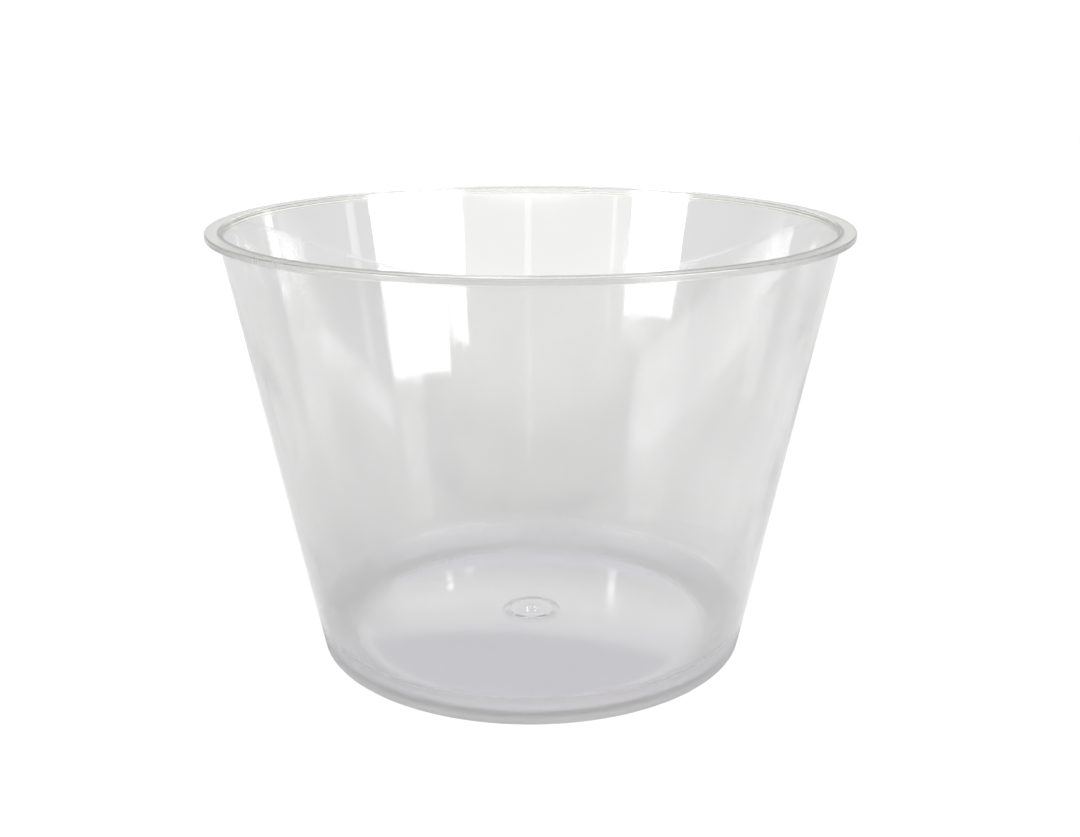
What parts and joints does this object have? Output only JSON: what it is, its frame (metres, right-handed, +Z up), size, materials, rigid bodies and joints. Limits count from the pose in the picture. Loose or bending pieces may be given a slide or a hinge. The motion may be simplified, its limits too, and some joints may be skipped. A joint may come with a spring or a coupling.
{
  "type": "plant pot liner",
  "caption": "Clear plastic plant pot liner: a tapered round pot with a narrow flat lip, a rounded heel and a domed floor, set inside a decorative pot to keep it dry.",
  "frame": {"origin": "centre of the standing ring, on the table", "axes": "+Z up along the pot's axis of revolution; X and Y are any two square directions across it"},
  "size_m": [0.149, 0.149, 0.1025],
  "materials": {
    "clear_plastic": "clear polystyrene, glossy, with a faint grey cast and light handling haze"
  },
  "bodies": {
    "root": {"pot_liner": "clear_plastic"}
  },
  "joints": []
}
